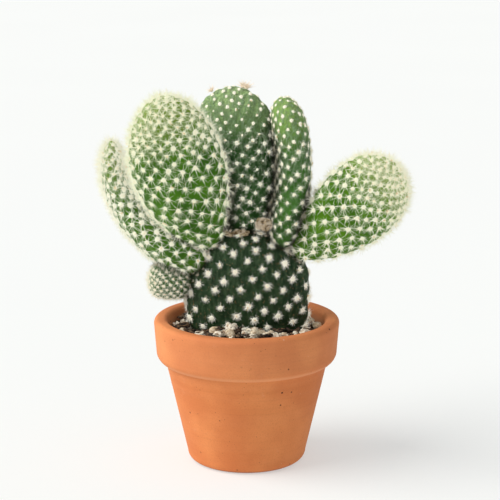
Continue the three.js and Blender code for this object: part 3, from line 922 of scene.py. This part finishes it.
# %% Skin finish
def skin_finish(name, deep, fresh, tip, freckles, shine, crevice_shade, wax_and_sheen, fuzz, cork=None):
    finish = Finish(name)
    near = finish.attribute("near")
    along = finish.attribute("along")
    crevice = finish.attribute("crevice")
    clouds = finish.noise(11, detail=3)
    mottle = finish.noise(1.5, detail=3, roughness=0.6, shift=2)
    pores = finish.cells(0.42)
    colour = finish.blend(clouds.between(0.3, 0.72), deep, fresh)
    colour = finish.blend(near.between(3.4, 0.8) * 0.4, colour, fresh)
    colour = finish.blend(along.between(0.62, 1.0) * 0.8, colour, tip)
    colour = finish.blend(mottle.between(0.5, 0.75) * 0.3, colour, deep)
    # A pale bloom of wax, partly painted sheen, stronger towards the tip.
    bloom_and_sheen = finish.noise(2.4, detail=4, roughness=0.7, stretch=(0.6, 1, 1.6), shift=40)
    bloom_and_sheen = bloom_and_sheen.between(0.42, 0.66)
    colour = finish.blend(bloom_and_sheen * along.between(0.1, 0.8) * wax_and_sheen, colour, paint(150, 184, 136))
    freckle = finish.noise(1.2, detail=3, roughness=0.7, shift=8).between(0.63, 0.68)
    colour = finish.blend(freckle * freckles, colour, paint(150, 122, 84))
    fluff = finish.noise(0.6, detail=2, shift=15).between(0.64, 0.72) * freckles
    colour = finish.blend(fluff * 0.5, colour, paint(150, 160, 124))
    if cork:
        bark = finish.noise(4, detail=4, shift=6).between(0.5, 0.64)
        bark = along.between(cork[1], cork[0]) * bark
        colour = finish.blend(bark * 0.8, colour, paint(128, 104, 72))
    # Painted shade: the skin turns black-green deep in a crevice.
    colour = finish.blend(crevice * crevice_shade, colour, paint(13, 21, 9))
    scar = crevice.between(0.8, 0.95) * mottle.between(0.5, 0.6) * freckles
    colour = finish.blend(scar * 0.7, colour, paint(96, 70, 46))
    wrinkles = finish.noise(3.2, detail=3, roughness=0.6, shift=30)
    height = mottle * 0.15 - pores * 0.06 + wrinkles * (0.9 + 3 * wax_and_sheen) + bloom_and_sheen * wax_and_sheen
    return finish.surface(
        colour, mottle * 0.2 + 0.4, height,
        subsurface_weight=0.08, subsurface_radius=(0.6, 1.2, 0.35), subsurface_scale=0.0012,
        sheen_weight=fuzz, sheen_roughness=0.4, sheen_tint=paint(224, 238, 160),
        specular_ior_level=shine,
    )


# %% Skins
SKINS = {
    "base_paddle": dict(
        deep=paint(19, 41, 22), fresh=paint(40, 67, 38), tip=paint(40, 62, 38),
        freckles=0.9, shine=0.12, crevice_shade=0.6, wax_and_sheen=0.12, fuzz=0, cork=(0.32, 0.46),
    ),
    "front_left_paddle": dict(
        deep=paint(46, 93, 6), fresh=paint(72, 125, 13), tip=paint(142, 167, 74),
        freckles=0.1, shine=0.16, crevice_shade=0.5, wax_and_sheen=0, fuzz=0.22,
    ),
    "back_left_paddle": dict(
        deep=paint(50, 95, 12), fresh=paint(74, 121, 24), tip=paint(142, 168, 80),
        freckles=0.25, shine=0.16, crevice_shade=0.6, wax_and_sheen=0, fuzz=0.15,
    ),
    "left_bud": dict(
        deep=paint(40, 80, 30), fresh=paint(68, 110, 46), tip=paint(84, 122, 60),
        freckles=0.2, shine=0.2, crevice_shade=0.6, wax_and_sheen=0.1, fuzz=0.2,
    ),
    "back_paddle": dict(
        deep=paint(12, 60, 8), fresh=paint(40, 104, 24), tip=paint(184, 216, 146),
        freckles=0.2, shine=0.3, crevice_shade=0.94, wax_and_sheen=0.85, fuzz=0.05,
    ),
    "upright_paddle": dict(
        deep=paint(18, 64, 4), fresh=paint(66, 128, 26), tip=paint(160, 198, 102),
        freckles=0.2, shine=0.35, crevice_shade=0.95, wax_and_sheen=0.75, fuzz=0.05,
    ),
    "right_paddle": dict(
        deep=paint(58, 106, 8), fresh=paint(88, 139, 20), tip=paint(164, 188, 92),
        freckles=0.1, shine=0.16, crevice_shade=0.5, wax_and_sheen=0, fuzz=0.25,
    ),
}
SKIN_SLOT = {
    "base_paddle": "old_skin", "left_bud": "mid_skin",
    "back_paddle": "mid_skin", "upright_paddle": "mid_skin",
    "front_left_paddle": "young_skin", "back_left_paddle": "young_skin",
    "right_paddle": "young_skin",
}
for name, look in SKINS.items():
    finish = skin_finish(f"skin_of_{name}", **look)
    piece(f"{name}_skin", skin_bm(paddles[name]), finish, SKIN_SLOT[name], name)

# %% [markdown]
# ## Tufts
# Each areole bears a tuft of barbed bristles, finer than a hair. On old paddles they are short
# and stand in a dense white dome. On young ones a small core sends out long pale bristles that
# cross those of the next tuft, and at the growing tip they stand up so closely that they look
# like fur. Hair curves would be quick, but they give no solid shape, so a bristle is a slim
# three-sided cone. Bristles lean together in locks, as wool does. A few tufts of every kind are
# made once, and each areole gets one of them, turned by chance.

# %% One tuft
DOME_UNEVENNESS = (0.85, 1.15)
DOME_HEIGHT = 0.85
LOCK_STRAY = 0.15
FOOT_SPREAD = 0.5
BRISTLE_LEAN = 8
BRISTLE_TURN = 0.14


def facing(way):
    """The turn that brings straight up round to a direction."""
    return way.to_track_quat("Z", "Y").to_matrix().to_4x4()


def tufts_in_the_making():
    """An empty mesh whose corners remember their reach along a bristle and their shade."""
    bm = bmesh.new()
    bm.verts.layers.float.new("reach")
    bm.verts.layers.float.new("shade")
    return bm


def bristle(bm, reach, foot, way, length, radius):
    """A slim cone from its foot along a direction."""
    matrix = Matrix.Translation(foot + way * length / 2) @ facing(way)
    made = bmesh.ops.create_cone(
        bm, cap_ends=True, segments=3, radius1=radius, radius2=0, depth=length, matrix=matrix
    )
    for vert in made["verts"]:
        vert[reach] = vert.co.length


def tuft_mesh(name, seed, dome, sag, *tiers):
    """A woolly dome with tiers of bristles in locks, which sag towards the root."""
    draw = random.Random(seed)
    bm = tufts_in_the_making()
    reach = bm.verts.layers.float["reach"]
    bmesh.ops.create_icosphere(bm, subdivisions=2, radius=dome)
    for vert in bm.verts:
        vert.co *= draw.uniform(*DOME_UNEVENNESS)
        vert.co.z *= DOME_HEIGHT
        vert[reach] = vert.co.length
    for count, (low, high), (shortest, longest), radius, locks in tiers:
        share = [(i + draw.random()) / locks for i in range(locks)]
        strays = [LOCK_STRAY * draw.random() for i in range(locks)]
        turns = [2 * math.pi * (i * GOLDEN_SHARE + stray) for i, stray in enumerate(strays)]
        draw.shuffle(share)
        for i in range(count):
            lock = i % locks
            lean = low + (high - low) * math.sqrt(share[lock])
            slant = math.radians(lean + draw.uniform(-BRISTLE_LEAN, BRISTLE_LEAN))
            turn = turns[lock] + draw.uniform(-BRISTLE_TURN, BRISTLE_TURN)
            flat = math.sin(slant)
            way = Vector((flat * math.cos(turn), flat * math.sin(turn), math.cos(slant)))
            foot = Vector((way.x, way.y, 0)) * dome * FOOT_SPREAD * draw.random()
            way = (way + Vector((0, -sag, 0))).normalized()
            bristle(bm, reach, foot, way, draw.uniform(shortest, longest), radius)
    mesh = bpy.data.meshes.new(name)
    bm.to_mesh(mesh)
    bm.free()
    return mesh


# %% Kinds of tuft
TUFT_SHAPES = 6
TUFT_SEEDS = 100
# The dome's radius and the sag, then tiers of bristles: how many, their lean in degrees, their
# lengths, their radius and the number of locks.
TUFT_KINDS = {
    "old": (
        1.1, 0.3,
        (44, (5, 85), (1.5, 2.1), 0.15, 44),
        (70, (32, 97), (1.9, 3.0), 0.1, 46),
    ),
    "mid": (
        1.0, 0.1,
        (30, (0, 85), (1.2, 1.75), 0.14, 30),
        (32, (35, 90), (1.8, 3.2), 0.085, 22),
    ),
    "plain": (
        0.9, 0,
        (20, (0, 85), (1.0, 1.4), 0.14, 20),
        (8, (50, 90), (1.3, 2.1), 0.09, 8),
    ),
    "bud": (
        0.7, 0,
        (16, (0, 80), (0.9, 1.3), 0.13, 16),
        (13, (30, 80), (1.5, 3.0), 0.12, 13),
        (7, (0, 50), (1.6, 3.0), 0.1, 7),
    ),
    "young": (
        1.14, 0.08,
        (18, (0, 80), (1.3, 1.9), 0.17, 18),
        (15, (38, 82), (2.4, 5.2), 0.148, 15),
        (11, (5, 50), (2.2, 4.0), 0.115, 11),
    ),
    "newest": (
        0.82, -0.1,
        (10, (0, 80), (1.1, 1.6), 0.16, 10),
        (19, (36, 82), (2.2, 4.6), 0.15, 19),
        (19, (5, 45), (2.4, 5.4), 0.128, 19),
    ),
    "dry": (0.5, 0, (34, (0, 88), (0.9, 2.2), 0.11, 26)),
}
tufts = {
    kind: [tuft_mesh(f"{kind}_tuft_{i}", TUFT_SEEDS + i, *shape) for i in range(TUFT_SHAPES)]
    for kind, shape in TUFT_KINDS.items()
}
print("corners of a tuft:", {kind: len(made[0].vertices) for kind, made in tufts.items()})

# %% [markdown]
# ## Where tufts stand
# A tuft stands upright on the skin at each areole. Where two paddles press on one another there
# is no room for one, nor below the mix, so those are left out. Tufts are a little woollier along
# the two edges of a paddle, and another kind takes over towards its tip. Scattering them by
# chance would be shorter, but the eye knows the spiral. A tuft remembers how deep in a crevice it
# stands.

# %% Tufts on a paddle
CLEARANCE = 0.6
YOUTH = (0.25, 0.75)
TUFT_TURN = 0.9
TUFT_SIZE = (0.88, 1.15)
TUFT_MIDDLE = Vector((0, 0, 1))
TUFT_TIP = Vector((0, 0, 1.5))
EDGE = (0.8, 1)
EDGE_WOOL = {"old": 0.35, "young": 0.22}


def has_room(paddle, foot, tip):
    if tip.z < soil_height(foot.x, foot.y) + CLEARANCE:
        return False
    return not any(
        other.holds(tip, 0) or other.holds(foot, CLEARANCE)
        for other in paddles.values() if other is not paddle
    )


def tufts_bm(paddle, kind, young_kind, seed):
    draw = random.Random(seed)
    bm = tufts_in_the_making()
    stood = 0
    for u in areoles[paddle.name]:
        standing = paddle.stand(u)
        youth = smoothstep(u.z, *YOUTH) if young_kind else 0
        shapes = tufts[young_kind if draw.random() < youth else kind]
        shape = shapes[draw.randrange(TUFT_SHAPES)]
        turn = Matrix.Rotation(draw.uniform(-TUFT_TURN, TUFT_TURN), 4, "Z")
        wool = EDGE_WOOL.get(kind, 0) * smoothstep(abs(u.x), *EDGE)
        size = Matrix.Scale(draw.uniform(*TUFT_SIZE) + wool, 4)
        place = paddle.matrix @ standing
        if has_room(paddle, place.translation, place @ TUFT_TIP):
            depth = depth_in_crevice(paddle, others_of[paddle.name], place @ TUFT_MIDDLE)
            stamp(bm, shape, place @ turn @ size, shade=depth * depth)
            stood += 1
    print(f"{paddle.name}: {stood} tufts on {len(areoles[paddle.name])} areoles")
    return bm


# %% [markdown]
# ## Bristles in the light
# Bristles are as pale as horn, warmer at the core of a tuft, with an amber one here and there.
# Light shines through anything this thin, which a solid cone would block. Clear cones would show
# that, at a high price in time, so the finish gives off a little light of its own instead, and
# hardly any deep in a crevice, where painted shade also turns the bristles a dull grey-brown. It
# reads how far out along its bristles a point of a tuft is.

# %% Bristle finish
# How strongly painted shade darkens a tuft that stands deep in a crevice.
SHADE_IN_CREVICE = 0.8


def bristle_finish(name, core, shaft, shine_through):
    finish = Finish(name)
    reach = finish.attribute("reach")
    tone = finish.noise(7, detail=2)
    colour = finish.blend(reach.between(0.6, 1.5), core, shaft)
    flecks = finish.noise(1.2, detail=1, shift=33).between(0.64, 0.7)
    colour = finish.blend(flecks * 0.7, colour, paint(204, 168, 98))
    colour = finish.blend(tone.between(0.5, 0.8) * 0.3, colour, core)
    # Painted shade: deep in a crevice a tuft turns a dull grey-brown and gives off little light.
    shade = finish.attribute("shade") * SHADE_IN_CREVICE
    colour = finish.blend(shade, colour, paint(96, 92, 68))
    glow = finish.blend(shade, paint(240, 239, 222), paint(34, 33, 22))
    glow = finish.blend(flecks * 0.7, glow, paint(164, 128, 60))
    return finish.surface(
        colour, roughness=0.6, specular_ior_level=0.25,
        emission_color=glow, emission_strength=shine_through,
    )


# %% Tufts of every paddle
# The kind of tuft, the kind that takes over towards the tip, the colours of the core and of the
# bristles, and how much light shines through them.
TUFTS = {
    "base_paddle": ("old", None, paint(232, 220, 198), paint(244, 242, 236), 0.24),
    "front_left_paddle": ("young", "newest", paint(210, 205, 180), paint(204, 207, 182), 0.38),
    "back_left_paddle": ("young", "newest", paint(210, 205, 186), paint(208, 208, 194), 0.36),
    "left_bud": ("bud", None, paint(216, 209, 190), paint(216, 214, 202), 0.26),
    "back_paddle": ("mid", "plain", paint(226, 219, 198), paint(226, 225, 214), 0.38),
    "upright_paddle": ("mid", "plain", paint(240, 233, 210), paint(240, 239, 226), 0.17),
    "right_paddle": ("young", "newest", paint(226, 222, 198), paint(222, 222, 204), 0.29),
}
STANDING_SEEDS = 200
for number, (name, (kind, young_kind, *colours)) in enumerate(TUFTS.items()):
    finish = bristle_finish(f"bristles_of_{name}", *colours)
    bm = tufts_bm(paddles[name], kind, young_kind, STANDING_SEEDS + number)
    piece(f"{name}_tufts", bm, finish, SKIN_SLOT[name], smooth=False)

# %% [markdown]
# ## Dry buds
# Flowers and young paddles that didn't grow on leave dry remains on the upper edge of the old
# paddle. A single lump would look like a stone, so each is a cluster of corky lumps in the place
# of its solid, wrapped in short dry wool.

# %% Cork finish
def cork_finish():
    finish = Finish("dry_cork")
    cracks = finish.cells(1.3)
    tone = finish.noise(1.4, detail=4, roughness=0.7)
    colour = finish.blend(tone.between(0.38, 0.62), paint(112, 90, 62), paint(214, 192, 156))
    colour = finish.blend((1 - cracks.between(0.05, 0.3)) * 0.3, colour, paint(110, 80, 56))
    relief = tone * 0.5 + cracks * 0.3
    return finish.surface(colour, 0.9, relief, specular_ior_level=0.2)


cork = cork_finish()
print("nodes of the cork:", len(cork.node_tree.nodes))

# %% Dry buds
LUMPS = 12
LUMP_NOISE = (0.6, 1.6)
LUMP_SUBDIVISIONS = 3
LUMP_SIZES = (0.5, 0.75)
BUD_THICKNESS = 0.9
BUD_TAPER = 0.8


def bud_bm(long_way, seed):
    """Lumps side by side along a bud, closer to its middle line towards its ends."""
    draw = random.Random(seed)
    bm = bmesh.new()
    for i in range(LUMPS):
        lump = stone_bm(*LUMP_NOISE, seed + i, LUMP_SUBDIVISIONS)
        mesh = bpy.data.meshes.new(f"lump_{seed + i}")
        lump.to_mesh(mesh)
        lump.free()
        share = 2 * (i + 0.5) / LUMPS - 1
        thick = BUD_THICKNESS * math.sqrt(1 - BUD_TAPER * share * share)
        back, up = [draw.uniform(-1, 1) * thick for i in range(2)]
        place = Matrix.Translation((long_way * share, back, up))
        stamp(bm, mesh, place @ Matrix.Scale(draw.uniform(*LUMP_SIZES), 4))
    return bm


# %% Dry buds in their wool
# How long the row of lumps is, and how many wisps of wool wrap it.
DRY_BUDS = {"dry_bud_1": (3, 24), "dry_bud_2": (0.9, 84)}
BUD_SEEDS = 50
WISP_LEVELS = (-0.6, 1)
WISP_SIZES = (0.45, 0.85)
WISPS_OUT = 0.44
WISP_SHADE = 0.3
WOOL_SEED = 70
dry_wool = bristle_finish("dry_wool", paint(222, 200, 176), paint(240, 228, 212), 0.18)
wool_bm = tufts_in_the_making()
draw = random.Random(WOOL_SEED)


def add_wisp(number, place, size, shade):
    """One of the dry tufts in its place, as a wisp of wool."""
    shape = tufts["dry"][number % TUFT_SHAPES]
    stamp(wool_bm, shape, place @ Matrix.Scale(size, 4), shade=shade)


for number, (node, (long_way, wisps)) in enumerate(DRY_BUDS.items()):
    low, high = [(corner - POT_AXIS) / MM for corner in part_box(node)]
    bud = bud_bm(long_way, BUD_SEEDS + 20 * number)
    fit_in_box(bud, *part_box(node))
    for i in range(wisps):
        way = on_ball(draw.uniform(*WISP_LEVELS), 2 * math.pi * GOLDEN_SHARE * i)
        out = Vector([(high[j] - low[j]) * WISPS_OUT * way[j] for j in range(3)])
        place = Matrix.Translation((low + high) / 2 + out) @ facing(way)
        add_wisp(i, place, draw.uniform(*WISP_SIZES), WISP_SHADE)
    piece(f"{node}_cork", bud, cork, "dry_bud", node)

# %% [markdown]
# ## Dry wool
# More of the same wool sits in the joints of the old paddle and in two notches where three
# paddles meet, and three wisps of it are left of the flowers that stood on the back paddle's tip.
# Wisps could be placed by hand all along the joints. Here the places that feel for a neighbour
# find the joints, and every third of them bears a wisp.

# %% Dry wool in the joints and on the back paddle's tip
JOINT = (0.3, 2.4)
JOINT_EVERY = 3
JOINT_WISP_SIZES = (0.5, 1)
JOINT_WISP_SHADE = 0.7
NOTCHES = ((9.1, 0.6, 112.4), (-12, 0.6, 112.9))
NOTCH_WISP_SIZE = 2.2
# How high on the unit ball, the angle round it and the size of each.
TIP_WISPS = ((0.957, 0.1, 2.3), (0.965, 0.5, 2.3), (0.95, math.pi, 1.7))
TIP_WISP_RAISED = 1.2
joint_tree = tree_of([place for name in paddles if name != "base_paddle" for place in felt[name]])
base = paddles["base_paddle"]
for i, place in enumerate(felt["base_paddle"]):
    between = joint_tree.find(place)[2]
    if JOINT[0] < between < JOINT[1] and i % JOINT_EVERY == 0:
        from_middle = (base.inverse @ place) - Vector((0, 0, base.length / 2))
        way = (base.matrix.to_3x3() @ from_middle).normalized()
        standing = Matrix.Translation(place) @ facing(way)
        add_wisp(i, standing, draw.uniform(*JOINT_WISP_SIZES), JOINT_WISP_SHADE)
# The wool in the notches is fully darkened by painted shade.
for place in NOTCHES:
    add_wisp(1, Matrix.Translation(place), NOTCH_WISP_SIZE, shade=1)
back = paddles["back_paddle"]
for level, angle, size in TIP_WISPS:
    standing = back.matrix @ back.stand(on_ball(level, angle))
    add_wisp(0, standing @ Matrix.Translation((0, 0, TIP_WISP_RAISED)), size, shade=0)
piece("dry_wool", wool_bm, dry_wool, "dry_bud", smooth=False)

# %% [markdown]

# %% [markdown]
